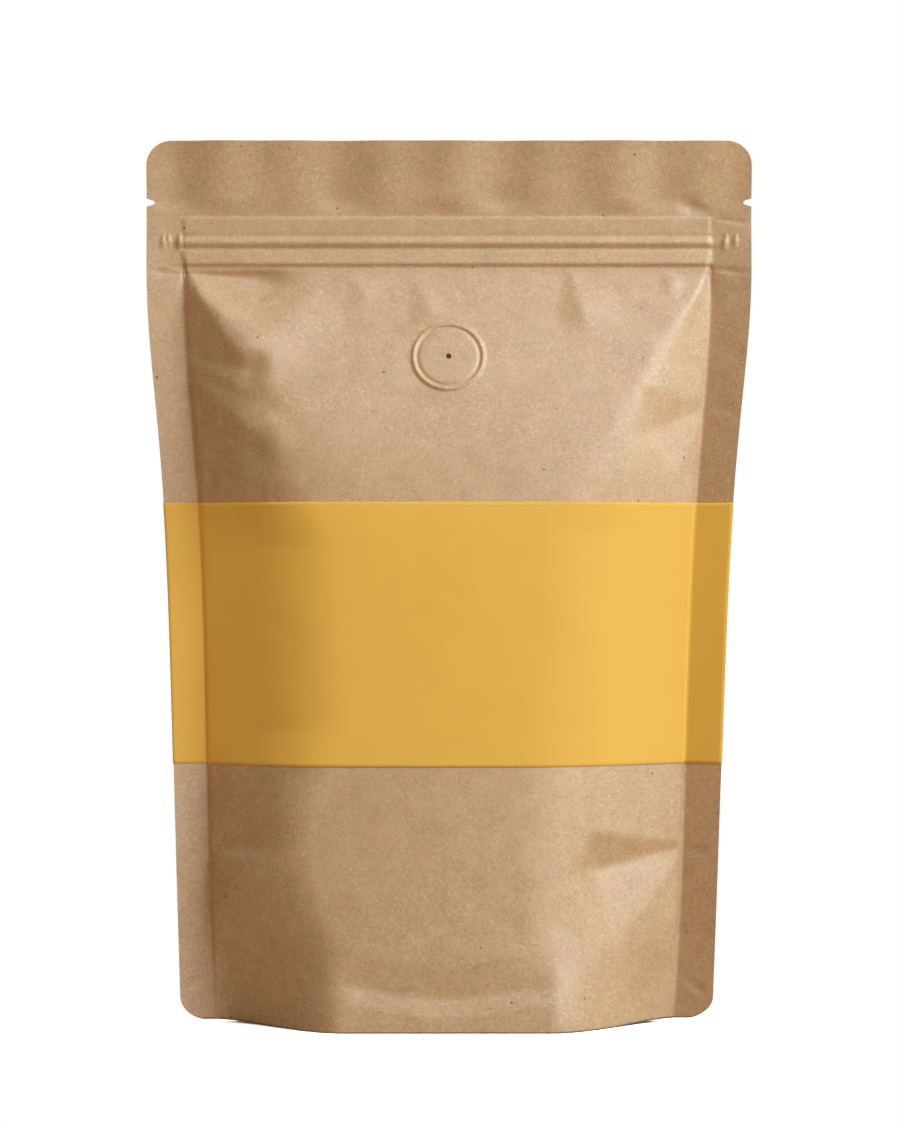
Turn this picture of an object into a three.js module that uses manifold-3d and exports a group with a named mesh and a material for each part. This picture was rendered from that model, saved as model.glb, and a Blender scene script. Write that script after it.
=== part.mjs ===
// Kraft coffee pouch: a filled, shut stand-up pouch of kraft paper. It has welded side seals, a
// press-to-close zip, two tear notches, a one-way valve under the paper and a bottom gusset, and a
// plain yellow paper band is glued round it. Millimetres, +Z up, the front faces -Y, and the origin
// is on the floor, midway across and midway deep.

import * as THREE from "three";
import { mergeVertices } from "three/addons/utils/BufferGeometryUtils.js";
import Module from "manifold-3d";

const wasm = await Module();
wasm.setup();

// ---- Driving dimensions ----

const pouch = {
  width: 160, // laid flat, over both side seals
  height: 233.5, // laid flat, from the bottom edge to the top edge
  layers: 0.9, // thickness where the layers are welded together
  topCorner: 6.7, // radius
  bottomCorner: 7.2, // radius
  liftStarts: 40, // from this far out the bottom edge lifts off the floor
  liftEnds: 66, // and from this far out it stays level
  lean: 0.7, // the bottom sits this far to the left of the top
};

// How far the front and the back bulge from the plane of the seals, at the middle of the pouch. `turns`
// is the share of the bulge over which the middle turns into a side slope, after height above the floor.
const filling = {
  top: 203, // height of the zip, above which the pouch is flat
  quick: 19, // bulge gained soon below the zip
  reach: 0.18, // share of the height over which that bulge is gained
  start: 1.35, // power that lets the bulge begin gently
  slow: 10, // further bulge gained evenly down to the floor
  crown: 0.25, // share of the bulge lost across the gently rounded middle, if it reached the seals
  turns: [[0, 0.3], [150, 0.3], [176, 0.24], [190, 0.13], [203, 0.05]],
  foot: 0.045, // share of the bulge left at the foot of a slope, where the paper drops to the seal
  footWidth: 0.011, // share of the way across over which it drops
  shortening: 0.0118, // half the width lost to each square millimetre of bulge, as paper doesn't stretch
};

// The hips are where the middle turns into a side slope: height above the floor, and distance from the
// middle as a share of the way to the seal. The back is the front turned half round.
const hips = {
  left: [
    ...[[0, 0.46], [12, 0.47], [23, 0.585], [30, 0.63], [44, 0.69], [62, 0.67], [78, 0.58], [126, 0.58]],
    ...[[144, 0.7], [165, 0.72], [175, 0.735], [186, 0.85], [191, 0.915], [199, 0.98]],
  ],
  right: [
    ...[[0, 0.5], [44, 0.49], [70, 0.5], [130, 0.54], [145, 0.65], [157, 0.72]],
    ...[[165, 0.76], [176, 0.83], [184, 0.88], [195, 0.955], [199, 0.98]],
  ],
};

// The side seals: width on the flat pouch, how far the bottom corner stands off the floor, and degrees
// that the seal leans forward, after height above the floor.
const seals = {
  left: {
    width: 9.4,
    lift: 0.9,
    lean: [[0, 22], [35, 24], [73, 20], [112, 12], [140, 8], [195, 8], [215, 3], [233, 0]],
  },
  right: {
    width: 10.7,
    lift: 1.3,
    lean: [[0, 22], [35, 29], [75, 29], [120, 27], [150, 26], [195, 20], [216, 6], [233, 0]],
  },
};

// Degrees that the header above the zip leans forward, where it starts and at the top edge.
const curl = { low: 9, high: 15 };

const gusset = {
  depth: 43, // height of its fold at the side seals
  skirt: 8.3, // height of its weld at the middle of the pouch
  sweep: 2.8, // power of the curve from one to the other
  flatHalf: 27, // half the flat front of the bottom edge
  pinchHalf: 60.5, // from here out the bottom edge lies in the plane of the seals
  pinchRise: 30, // the pinched shape of the bottom edge fades out by this height
  pocketHalf: 56, // the hollow below the gusset ends here
  pocketLeast: 0.2, // half its width where it is narrowest
  sag: 1.5, // the filling presses the middle of the gusset down by this much
};

// The valley along the weld of the gusset, where the filling bulges over it.
const weldValley = {
  depth: 1.15,
  half: 31, // it ends this far from the middle
  above: 0.5, // height of its line above the weld
  upperFlank: 9, // width
  lowerFlank: 5,
  bend: 4.6, // it bends up by this much towards its ends
  fades: 0.65, // share of its half length past which it fades out
};

const zip = {
  bottom: 200.1,
  groove: 204.7, // between the lower and the upper rib
  top: 207.9,
  flange: 213.3, // upper edge of the strip that carries the ribs
  rib: 0.6, // height of a rib
  strip: 0.3, // thickness that the strip adds
  edge: 0.9, // slope at each edge of a rib
  tuck: 0.6, // the paper is drawn in by this much below the zip
  tuckReach: 8, // height over which it is drawn in
  overlap: 4, // the ribs are crushed in the seals, and end this far into them
};

const valve = {
  height: 175.8, // of its centre above the floor
  radius: 9.75,
  rim: 9.15, // radius of the rim's crest
  groove: 8.3, // radius of the groove inside the rim
  face: 7.6, // radius of the face inside the groove
  rimRise: 0.75,
  grooveRise: 0.15,
  faceRise: 0.55,
  sunk: 3,
  hole: 0.65, // radius
  holeDepth: 1.6,
};

const notch = { height: 217, opening: 2.2, straight: 1.3, depth: 2.2 };

const label = { bottom: 68.65, top: 137.5, gap: 0.3, thickness: 0.25 };

// The flat header above the zip waves to and fro: length and height of each wave, and where it starts.
const headerWaves = [
  { length: 21.2, rise: 0.42, start: 0.77 },
  { length: 47, rise: 0.5, start: 2.4 },
];
const headerFreeFrom = 5; // above the zip the header waves fully from this height on

// Folds of the front and back paper. Each is a ridge, or with a negative rise a valley, which opens like
// a fan from the point where it starts at a seal or the zip. Places are across and up, `flanks` are the
// widths of its left and right flank, seen along it, and `peak` is the share of its length at which it
// is highest. Where `closes` is set, its right flank narrows again to its end.
const hipFolds = [
  { from: [-71.4, 198.6], to: [-44, 163], rise: 4, flanks: [27, 18], peak: 0.6 },
  { from: [-71.4, 198.6], to: [-36, 194.5], rise: -2.2, flanks: [4, 14], peak: 0.6 },
  { from: [-69.2, 176.6], to: [-46, 171.4], rise: -1.8, flanks: [5, 6], peak: 0.75 },
  { from: [-68.6, 171.9], to: [-42, 147], rise: 2, flanks: [8, 12], peak: 0.65 },
  { from: [-67.4, 151], to: [-43, 152], rise: -1.8, flanks: [6, 8], peak: 0.65 },
  { from: [70.8, 199], to: [55, 164], rise: -0.8, flanks: [9, 6.5], peak: 0.6 },
  { from: [69.4, 163.4], to: [46, 153], rise: -1.9, flanks: [12, 12], peak: 0.6, closes: true },
];
const puckers = [
  { from: [-9.8, 199.1], to: [-1, 180], rise: 0.9, flanks: [5, 7], peak: 0.7 },
  { from: [-26.2, 199.1], to: [-20, 189], rise: 0.5, flanks: [4, 5], peak: 0.7 },
  { from: [32, 199.1], to: [38, 180], rise: 1.2, flanks: [9, 6], peak: 0.5 },
  { from: [57.1, 199.1], to: [60.5, 192], rise: 0.6, flanks: [4, 3], peak: 0.5 },
];
const gussetFolds = [
  { from: [-64, 45.8], to: [-40, 53], rise: -2, flanks: [8, 5.5], peak: 0.4 },
  { from: [-64, 45.2], to: [-40, 38.5], rise: 2.4, flanks: [5.5, 10], peak: 0.4 },
  { from: [63.4, 46.9], to: [32, 40], rise: -4.6, flanks: [21, 10], peak: 0.75, closes: true },
];
const folds = [...hipFolds, ...puckers, ...gussetFolds];
const foldLeast = 0.08; // share of its full width that a fold has at its start
const foldsEndAt = 0.975; // share of the panel's half width, past which the seal holds the paper flat

// Where the filling behind the paper pushes out a broad low bump: its centre, and half its size.
const swell = { centre: [-41, 155], reach: [35, 29], rise: 2.6 };

const grid = {
  panelColumns: 32, // across the paper between the seals
  crowding: 0.5, // how far the panel's columns draw together towards the seals, from 0 to 1
  sealColumns: 2,
  rowHeight: 7, // on the plain paper
  upperRow: 5, // between the band and the zip
  gussetRow: 4, // below the gusset's fold
  headerRows: 4,
  valveSides: 36,
  cornerSteps: 8,
  pocketColumns: 24,
  wallRows: 4, // of the hollow below the gusset
  roofSteps: 3,
  cutReach: 30, // the corners and notches are cut this far to the front and the back
};

// ---- Small helpers ----

const { clamp, degToRad, smoothstep, lerp } = THREE.MathUtils;

/** Counts from `from` to `to` in equal steps no longer than `longest`, without `to` itself. */
function stepsUpTo(from, to, longest) {
  const count = Math.ceil((to - from) / longest);
  return Array.from({ length: count }, (_, i) => from + ((to - from) * i) / count);
}

/** The value at one height, from a list of heights and values, in straight lines between them. */
function valueAt(places, z) {
  const above = places.findIndex(([height]) => height > z);
  if (above === -1) return places.at(-1)[1];
  const [lowZ, lowValue] = places[above - 1];
  const [highZ, highValue] = places[above];
  return lerp(lowValue, highValue, (z - lowZ) / (highZ - lowZ));
}

/** Closed surface through rings of the same number of points, capped at both ends or joined in a loop. */
function loft(rings, ends) {
  const across = rings[0].length;
  const faces = [];
  const quad = (a, b, c, d) => faces.push(a, b, c, a, c, d);
  const last = ends === "joined" ? rings.length : rings.length - 1;
  for (let r = 0; r < last; r++) {
    const lower = r * across;
    const upper = ((r + 1) % rings.length) * across;
    for (let i = 0; i < across; i++) {
      const next = (i + 1) % across;
      quad(lower + i, lower + next, upper + next, upper + i);
    }
  }
  if (ends === "capped") {
    const end = (rings.length - 1) * across;
    for (let i = 0; i + 1 < across / 2; i++) {
      const opposite = across - 1 - i;
      quad(i, opposite, opposite - 1, i + 1);
      quad(end + i, end + i + 1, end + opposite - 1, end + opposite);
    }
  }
  const geometry = new THREE.BufferGeometry();
  const points = rings.flat().flatMap((p) => [p.x, p.y, p.z]);
  geometry.setAttribute("position", new THREE.Float32BufferAttribute(points, 3));
  geometry.setIndex(faces);
  return geometry;
}

/** A geometry as a manifold solid. */
function toSolid(geometry) {
  const plain = geometry.clone();
  plain.deleteAttribute("normal");
  plain.deleteAttribute("uv");
  const merged = mergeVertices(plain);
  const vertProperties = new Float32Array(merged.attributes.position.array);
  const triVerts = new Uint32Array(merged.index.array);
  return new wasm.Manifold(new wasm.Mesh({ numProp: 3, vertProperties, triVerts }));
}

/** A manifold solid as a geometry. */
function toGeometry(solid) {
  const mesh = solid.getMesh();
  const geometry = new THREE.BufferGeometry();
  geometry.setAttribute("position", new THREE.Float32BufferAttribute(mesh.vertProperties, 3));
  geometry.setIndex(Array.from(mesh.triVerts));
  geometry.computeVertexNormals();
  return geometry;
}

/** A flat outline in X and Z, drawn out along Y by `reach` to each side of the seals. */
function prismAcross(outline, reach) {
  const geometry = new THREE.ExtrudeGeometry(outline, {
    depth: 2 * reach,
    bevelEnabled: false,
    curveSegments: grid.cornerSteps,
  });
  return geometry.translate(0, 0, -reach).rotateX(Math.PI / 2);
}

// ---- The paper's form ----

/** How far the filling pushes the paper out at the middle of the pouch. */
function bulge(z) {
  const depth = Math.max(0, (filling.top - z) / filling.top);
  const quick = 1 - Math.exp(-((depth / filling.reach) ** filling.start));
  return filling.quick * quick + filling.slow * depth;
}

/** Half the distance between the seals' outer edges: the fuller the pouch, the narrower it stands. */
function halfWidth(z) {
  return pouch.width / 2 - filling.shortening * bulge(z) ** 2;
}

/** The side seal on the side of a place across. */
function sealAt(across) {
  return across < 0 ? seals.left : seals.right;
}

/** Angle that the seal on the side of a place across leans forward at one height. */
function leanAngle(across, z) {
  return degToRad(valueAt(sealAt(across).lean, z));
}

/** Distance of a seal's inner edge from the middle, on the side of a place across. */
function panelHalf(across, z) {
  return halfWidth(z) - sealAt(across).width * Math.cos(leanAngle(across, z));
}

/** Height of the gusset's weld, which sweeps from the skirt at the middle up to the side seals. */
function weldHeight(x) {
  const share = Math.min(1, Math.abs(x) / panelHalf(x, 0));
  return gusset.skirt + (gusset.depth - gusset.skirt) * share ** gusset.sweep;
}

/** The smaller of two values, rounded off over `width` where they cross. */
function softMin(a, b, width) {
  const near = Math.max(0, 1 - Math.abs(a - b) / width);
  return Math.min(a, b) - (near ** 2 * width) / 4;
}

/** Share of the full bulge at a place across the front, from 1 at the middle to 0 at a seal. */
function crossSection(across, z) {
  const away = Math.abs(across);
  const { crown, foot, footWidth } = filling;
  const hip = lerp(valueAt(hips.left, z), valueAt(hips.right, z), smoothstep(across, -0.1, 0.1));
  const middle = 1 - crown * away ** 2;
  const steepness = (1 - crown * hip ** 2 - foot) / (1 - footWidth - hip);
  const slope = foot + steepness * (1 - footWidth - away);
  const dropping = Math.min(1, (1 - away) / footWidth);
  const filled = softMin(middle, slope, valueAt(filling.turns, z)) * dropping;
  const pinched = 1 - smoothstep(away * panelHalf(across, z), gusset.flatHalf, gusset.pinchHalf);
  return lerp(pinched, filled, smoothstep(z, 0, gusset.pinchRise));
}

/** Height that one fold adds at a place across and up. */
function foldRise(fold, x, z) {
  const [startX, startZ] = fold.from;
  const [runX, runZ] = [fold.to[0] - startX, fold.to[1] - startZ];
  const length = Math.hypot(runX, runZ);
  const [right, up] = [x - startX, z - startZ];
  const share = clamp((right * runX + up * runZ) / length ** 2, 0, 1);
  const beside = (up * runX - right * runZ) / length;
  const growth = Math.min(1, share / fold.peak);
  const closing = fold.closes && beside <= 0 ? Math.min(1, (1 - share) / (1 - fold.peak)) : 1;
  const width = fold.flanks[beside > 0 ? 0 : 1] * Math.max(growth * closing, foldLeast);
  const profile = Math.max(0, 1 - Math.abs(beside) / width);
  return fold.rise * growth * (1 - smoothstep(share, fold.peak, 1)) * profile;
}

/** Height that the swell adds at a place across and up. */
function swellRise(x, z) {
  const right = (x - swell.centre[0]) / swell.reach[0];
  const up = (z - swell.centre[1]) / swell.reach[1];
  return swell.rise * Math.exp(-2 * (right ** 2 + up ** 2));
}

/** Height, which is negative, that the valley along the weld adds to the paper. */
function weldValleyRise(x, z) {
  const share = Math.min(1, Math.abs(x) / weldValley.half);
  const above = z - gusset.skirt - weldValley.above - weldValley.bend * share ** 1.5;
  const flank = above > 0 ? weldValley.upperFlank : weldValley.lowerFlank;
  const ends = 1 - smoothstep(share, weldValley.fades, 1);
  return -weldValley.depth * ends * Math.max(0, 1 - Math.abs(above) / flank);
}

/** Height that folds and swells add to the paper, which the zip holds flat. */
function relief(x, z) {
  let rise = weldValleyRise(x, z) + swellRise(x, z);
  for (const fold of folds) rise += foldRise(fold, x, z);
  return rise * (1 - smoothstep(z, zip.bottom - 2 * zip.edge, zip.bottom));
}

/** Height that the zip adds to the paper. */
function zipRise(z) {
  const between = (low, high) =>
    smoothstep(z, low, low + zip.edge) * (1 - smoothstep(z, high - zip.edge, high));
  const ribs = Math.max(between(zip.bottom, zip.groove), between(zip.groove, zip.top));
  const drawnIn = smoothstep(z, zip.bottom - zip.tuckReach, zip.bottom - 2 * zip.edge);
  const tucked = zip.tuck * drawnIn * (1 - smoothstep(z, zip.bottom - zip.edge, zip.bottom));
  return zip.rib * ribs + zip.strip * between(zip.bottom - zip.edge, zip.flange) - tucked;
}

/** How far the flat header waves forward, out of the plane of the seals. */
function headerWave(x, z) {
  const free = smoothstep(z, zip.flange, zip.flange + headerFreeFrom);
  return headerWaves.reduce(
    (sum, wave) => sum + free * wave.rise * Math.sin((2 * Math.PI * x) / wave.length + wave.start),
    0,
  );
}

/** How far the header above the zip curls forward, and the height that it then reaches. */
function curlHeader(z) {
  const above = Math.max(0, z - zip.flange);
  const share = above / (pouch.height - zip.flange);
  const angle = degToRad(lerp(curl.low, curl.high, share / 2));
  return { forward: above * Math.sin(angle), height: z - above * (1 - Math.cos(angle)) };
}

/**
 * A point on the paper. `side` is -1 on the front and 1 on the back, `across` runs from -1 to 1 over
 * the panel between the seals, and `out` from 0 to 1 over a seal's width.
 */
function paperPoint(side, across, out, z) {
  const seal = sealAt(across);
  const angle = leanAngle(across, z);
  const intoSeal = out * seal.width;
  const x = across * panelHalf(across, z) + Math.sign(across) * intoSeal * Math.cos(angle);
  const inward = 1 - smoothstep(Math.abs(across), foldsEndAt, 1);
  const zipShare = 1 - smoothstep(intoSeal, 0, zip.overlap);
  let rise = pouch.layers / 2 + zipShare * zipRise(z);
  rise += bulge(z) * crossSection(-side * across, z) + inward * relief(-side * x, z);
  const { forward, height } = curlHeader(z);
  const y = side * rise - forward - headerWave(x, z) - intoSeal * Math.sin(angle);
  const lifted = seal.lift * smoothstep(Math.abs(x), pouch.liftStarts, pouch.liftEnds);
  const lift = lifted * (1 - smoothstep(z, 0, gusset.skirt));
  const leftward = pouch.lean * (1 - z / pouch.height);
  return new THREE.Vector3(x - leftward, y, height + lift);
}

/** Places across the paper from its left to its right edge, as shares of the panel and of the seals. */
function columns() {
  const { panelColumns, sealColumns } = grid;
  const seal = Array.from({ length: sealColumns }, (_, i) => (i + 1) / sealColumns);
  const panel = Array.from({ length: panelColumns + 1 }, (_, i) => {
    const even = (2 * i) / panelColumns - 1;
    return lerp(even, Math.sin((even * Math.PI) / 2), grid.crowding);
  });
  return [
    ...seal.toReversed().map((out) => ({ across: -1, out })),
    ...panel.map((across) => ({ across, out: 0 })),
    ...seal.map((out) => ({ across: 1, out })),
  ];
}

/** The pouch's outline at one height, counterclockwise from above: along the front, then the back. */
function ringAt(z) {
  const front = columns().map(({ across, out }) => paperPoint(-1, across, out, z));
  const back = columns().map(({ across, out }) => paperPoint(1, across, out, z));
  return [...front, ...back.toReversed()];
}

// ---- The pouch ----

/** Heights of the grid's rows: close together at the gusset and the zip. */
function rowHeights() {
  const { edge } = zip;
  const zipRows = [
    ...[zip.bottom - 2 * edge, zip.bottom - edge, zip.bottom, zip.bottom + edge],
    ...[zip.groove - edge, zip.groove, zip.groove + edge],
    ...[zip.top - edge, zip.top, zip.flange - edge, zip.flange],
  ];
  const headerRow = (pouch.height - zip.flange) / grid.headerRows;
  return [
    ...stepsUpTo(0, gusset.depth, grid.gussetRow),
    ...stepsUpTo(gusset.depth, label.bottom, grid.rowHeight),
    ...stepsUpTo(label.bottom, label.top, grid.rowHeight),
    ...stepsUpTo(label.top, zipRows[0], grid.upperRow),
    ...zipRows,
    ...stepsUpTo(zip.flange, pouch.height, headerRow).slice(1),
    pouch.height,
  ];
}

/** The hollow below the gusset: upright walls inside the skirt and a roof that follows the weld. */
function makeGussetPocket() {
  const below = -2;
  const rings = [];
  for (let i = 0; i <= grid.pocketColumns; i++) {
    const x = lerp(-gusset.pocketHalf, gusset.pocketHalf, i / grid.pocketColumns);
    const roof = weldHeight(x);
    const wallAt = (side, z) => {
      const filled = bulge(z) * crossSection((-side * x) / panelHalf(x, z), z);
      const outer = filled + relief(-side * x, z);
      return side * Math.max(gusset.pocketLeast, outer - pouch.layers / 2);
    };
    const halfRing = (side) => {
      const points = [new THREE.Vector3(x - pouch.lean, wallAt(side, 0), below)];
      for (let row = 0; row <= grid.wallRows; row++) {
        const z = (roof * row) / grid.wallRows;
        points.push(new THREE.Vector3(x - pouch.lean, wallAt(side, z), z));
      }
      for (let step = 1; step <= grid.roofSteps; step++) {
        const inward = step / (grid.roofSteps + 1);
        const sagging = gusset.sag * smoothstep(inward, 0, 1) * crossSection(x / panelHalf(x, 0), 0);
        points.push(new THREE.Vector3(x - pouch.lean, wallAt(side, roof) * (1 - inward), roof - sagging));
      }
      return points;
    };
    rings.push([...halfRing(1), ...halfRing(-1).toReversed()]);
  }
  return loft(rings, "capped");
}

/** What rounding takes off one corner of the seals, given the corner, its radius and its directions. */
function cornerOffcut(cornerX, cornerZ, radius, hand, up) {
  const spare = 4;
  const [centreX, centreZ] = [cornerX - hand * radius, cornerZ - up * radius];
  const [farX, farZ] = [cornerX + hand * spare, cornerZ + up * spare];
  const outline = new THREE.Shape();
  outline.moveTo(centreX, farZ);
  for (let step = 0; step <= grid.cornerSteps; step++) {
    const turn = ((step / grid.cornerSteps) * Math.PI) / 2;
    outline.lineTo(centreX + hand * radius * Math.sin(turn), centreZ + up * radius * Math.cos(turn));
  }
  outline.lineTo(farX, centreZ);
  outline.lineTo(farX, farZ);
  return prismAcross(outline, grid.cutReach);
}

/** What a tear notch takes out of a side seal: a slot with a pointed end. */
function notchOffcut(hand) {
  const edge = hand * halfWidth(notch.height);
  const half = notch.opening / 2;
  const middle = curlHeader(notch.height).height;
  const outline = new THREE.Shape();
  outline.moveTo(edge + hand * notch.depth, middle - half);
  outline.lineTo(edge - hand * notch.straight, middle - half);
  outline.lineTo(edge - hand * notch.depth, middle);
  outline.lineTo(edge - hand * notch.straight, middle + half);
  outline.lineTo(edge + hand * notch.depth, middle + half);
  return prismAcross(outline, grid.cutReach);
}

/** Turns a shape made round the Y axis to look out of the front paper at the valve. */
function atValve(geometry) {
  const near = 1;
  const below = paperPoint(-1, 0, 0, valve.height - near);
  const above = paperPoint(-1, 0, 0, valve.height + near);
  const uphill = above.clone().sub(below).normalize();
  const outward = new THREE.Vector3(-1, 0, 0).cross(uphill).normalize().negate();
  const turn = new THREE.Quaternion().setFromUnitVectors(new THREE.Vector3(0, 1, 0), outward);
  const centre = below.add(above).multiplyScalar(0.5);
  return geometry.applyQuaternion(turn).translate(centre.x, centre.y, centre.z);
}

/** The valve as it shows through the paper: a flat face inside a groove and a rim. */
function makeValve() {
  const profile = [
    new THREE.Vector2(0, -valve.sunk),
    new THREE.Vector2(valve.radius, -valve.sunk),
    new THREE.Vector2(valve.radius, 0),
    new THREE.Vector2(valve.rim, valve.rimRise),
    new THREE.Vector2(valve.groove, valve.grooveRise),
    new THREE.Vector2(valve.face, valve.faceRise),
    new THREE.Vector2(0, valve.faceRise),
  ];
  return atValve(new THREE.LatheGeometry(profile, grid.valveSides));
}

/** The valve's pinhole. */
function makePinhole() {
  const sides = 12;
  const length = 2 * valve.holeDepth;
  return atValve(new THREE.CylinderGeometry(valve.hole, valve.hole, length, sides));
}

/** The whole pouch as one solid. */
function makePouch() {
  let solid = toSolid(loft(rowHeights().map(ringAt), "capped"));
  solid = solid.add(toSolid(makeValve())).subtract(toSolid(makePinhole()));
  solid = solid.subtract(toSolid(makeGussetPocket()));
  for (const hand of [-1, 1]) {
    const top = hand * halfWidth(pouch.height);
    const bottom = hand * halfWidth(0) - pouch.lean;
    const offcuts = [
      cornerOffcut(top, curlHeader(pouch.height).height, pouch.topCorner, hand, 1),
      cornerOffcut(bottom, sealAt(hand).lift, pouch.bottomCorner, hand, -1),
      notchOffcut(hand),
    ];
    for (const offcut of offcuts) solid = solid.subtract(toSolid(offcut));
  }
  return toGeometry(solid);
}

// ---- The yellow band ----

/** A ring moved outwards, away from the paper, by `distance` on every side. */
function offsetRing(ring, distance) {
  const outwardOf = (a, b) => new THREE.Vector2(b.y - a.y, a.x - b.x).normalize();
  return ring.map((point, i) => {
    const before = ring[(i + ring.length - 1) % ring.length];
    const after = ring[(i + 1) % ring.length];
    const first = outwardOf(before, point);
    const second = outwardOf(point, after);
    const share = distance / (1 + first.dot(second));
    return new THREE.Vector3(
      point.x + (first.x + second.x) * share,
      point.y + (first.y + second.y) * share,
      point.z,
    );
  });
}

/** The paper band, closed round the pouch and its seals. */
function makeLabel() {
  const rows = [...stepsUpTo(label.bottom, label.top, grid.rowHeight), label.top];
  const outer = rows.map((z) => offsetRing(ringAt(z), label.gap + label.thickness));
  const inner = rows.map((z) => offsetRing(ringAt(z), label.gap));
  const geometry = loft([...outer, ...inner.toReversed()], "joined");
  geometry.computeVertexNormals();
  return geometry;
}

// ---- The assembled object ----

const kraftPaper = new THREE.MeshStandardMaterial({ color: 0xb89470, roughness: 0.9, metalness: 0 });
const yellowPaper = new THREE.MeshStandardMaterial({ color: 0xe1ae4b, roughness: 0.8, metalness: 0 });

function namedMesh(name, geometry, material) {
  const mesh = new THREE.Mesh(geometry, material);
  mesh.name = name;
  return mesh;
}

const coffeePouch = new THREE.Group();
coffeePouch.add(namedMesh("pouch", makePouch(), kraftPaper));
coffeePouch.add(namedMesh("label_band", makeLabel(), yellowPaper));

export default coffeePouch;
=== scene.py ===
"""Kraft coffee pouch: the looks of a filled, shut stand-up pouch with a plain yellow paper band.

The pouch is one web of laminated kraft paper: it runs down the front, folds in as the bottom gusset
and comes up the back, and is welded along both sides. Sizes are in millimetres until a mesh is made.
The front faces -Y, +Z is up, and the origin is on the floor below the middle of the pouch.
"""

import logging
import math
from dataclasses import dataclass
from enum import Enum
from typing import Callable, Sequence

import bmesh
import bpy
import numpy as np
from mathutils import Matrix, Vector, noise


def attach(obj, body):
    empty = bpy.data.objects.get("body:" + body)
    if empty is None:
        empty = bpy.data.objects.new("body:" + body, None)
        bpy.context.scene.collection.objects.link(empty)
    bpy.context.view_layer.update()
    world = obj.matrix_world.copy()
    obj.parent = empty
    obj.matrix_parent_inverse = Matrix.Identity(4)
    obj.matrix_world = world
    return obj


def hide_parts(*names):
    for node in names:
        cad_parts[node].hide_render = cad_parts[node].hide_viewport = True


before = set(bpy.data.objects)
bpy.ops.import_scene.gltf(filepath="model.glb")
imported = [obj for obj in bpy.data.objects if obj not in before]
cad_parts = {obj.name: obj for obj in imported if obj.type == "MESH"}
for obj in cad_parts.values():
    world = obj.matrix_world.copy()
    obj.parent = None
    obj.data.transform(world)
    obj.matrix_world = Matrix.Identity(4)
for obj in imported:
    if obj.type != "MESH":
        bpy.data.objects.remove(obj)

log = logging.getLogger("kraft_pouch")

MM = 0.001  # metres in a millimetre
NEAR = 1e-3  # places closer than this are the same

Places = np.ndarray  # one number for each place on the paper
Colour = tuple[float, float, float, float]
Pair = tuple[float, float]
Table = tuple[Pair, ...]  # pairs of a place and the value there
Mesh = bmesh.types.BMesh
Edges = list[bmesh.types.BMEdge]
Material = bpy.types.Material
Tree = bpy.types.NodeTree
Socket = bpy.types.NodeSocket


class Side(Enum):
    """A face of the pouch, with the direction in Y that it looks in."""

    FRONT = -1
    BACK = 1


# ---- Small helpers ----


def smooth_step(value: Places, low: float, high: float) -> Places:
    """Share from 0 at low to 1 at high, level at both ends."""
    share = np.clip((value - low) / (high - low), 0.0, 1.0)
    return share * share * (3.0 - 2.0 * share)


def blend(first: Places, second: Places, share: Places) -> Places:
    """The first value where share is 0, and the second where it is 1."""
    return first + (second - first) * share


def soft_min(first: Places, second: Places, width: float) -> Places:
    """The smaller of two values, rounded off over width where they cross."""
    near = np.maximum(0.0, 1.0 - np.abs(first - second) / width)
    return np.minimum(first, second) - near**2 * width / 4.0


def grid_lines(*stretches: tuple[float, float, float]) -> np.ndarray:
    """Places of grid lines.

    Args:
        stretches: each one's start, its end and the longest step in it, one after the other.

    Returns:
        The places in order, with each stretch's ends once.
    """
    lines = [np.array([stretches[0][0]])]
    for start, end, step in stretches:
        count = math.ceil(abs(end - start) / step)
        lines.append(np.linspace(start, end, count + 1)[1:])
    return np.concatenate(lines)


def rough(x: Places, z: Places, size: float, seed: float) -> Places:
    """Even random unevenness.

    Args:
        x: places across, in millimetres.
        z: places up, in millimetres.
        size: the usual size of a bump, in millimetres.
        seed: another number gives other bumps.

    Returns:
        A value between about -1 and 1 for each place.
    """
    values = (noise.noise(Vector((a / size, b / size, seed))) for a, b in zip(x, z))
    return np.fromiter(values, dtype=float, count=len(x))


# ---- The paper's form ----


@dataclass(frozen=True)
class Filling:
    """How the beans push the paper out from the plane of the seals."""

    top: float = 203.0  # the zip, above which the pouch is flat
    quick: float = 19.0  # bulge gained soon below the zip
    reach: float = 0.18  # share of the height over which that bulge is gained
    start: float = 1.35  # power that lets the bulge begin gently
    slow: float = 10.0  # further bulge gained evenly down to the floor
    crown: float = 0.25  # share lost across the gently rounded middle, if it reached the seals
    turns: Table = (  # share over which the middle turns into a slope, by height
        (0, 0.3), (150, 0.3), (176, 0.24), (190, 0.13), (203, 0.05),
    )
    foot: float = 0.045  # share left at the foot of a slope, where the paper drops to the seal
    foot_width: float = 0.011  # share of the way across over which it drops
    shortening: float = 0.0118  # half the width lost to each square millimetre of bulge

    def bulge(self, z: Places) -> Places:
        """How far the middle of the paper stands out at a height."""
        depth = np.maximum(0.0, (self.top - z) / self.top)
        return self.quick * (1.0 - np.exp(-((depth / self.reach) ** self.start))) + self.slow * depth


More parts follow.
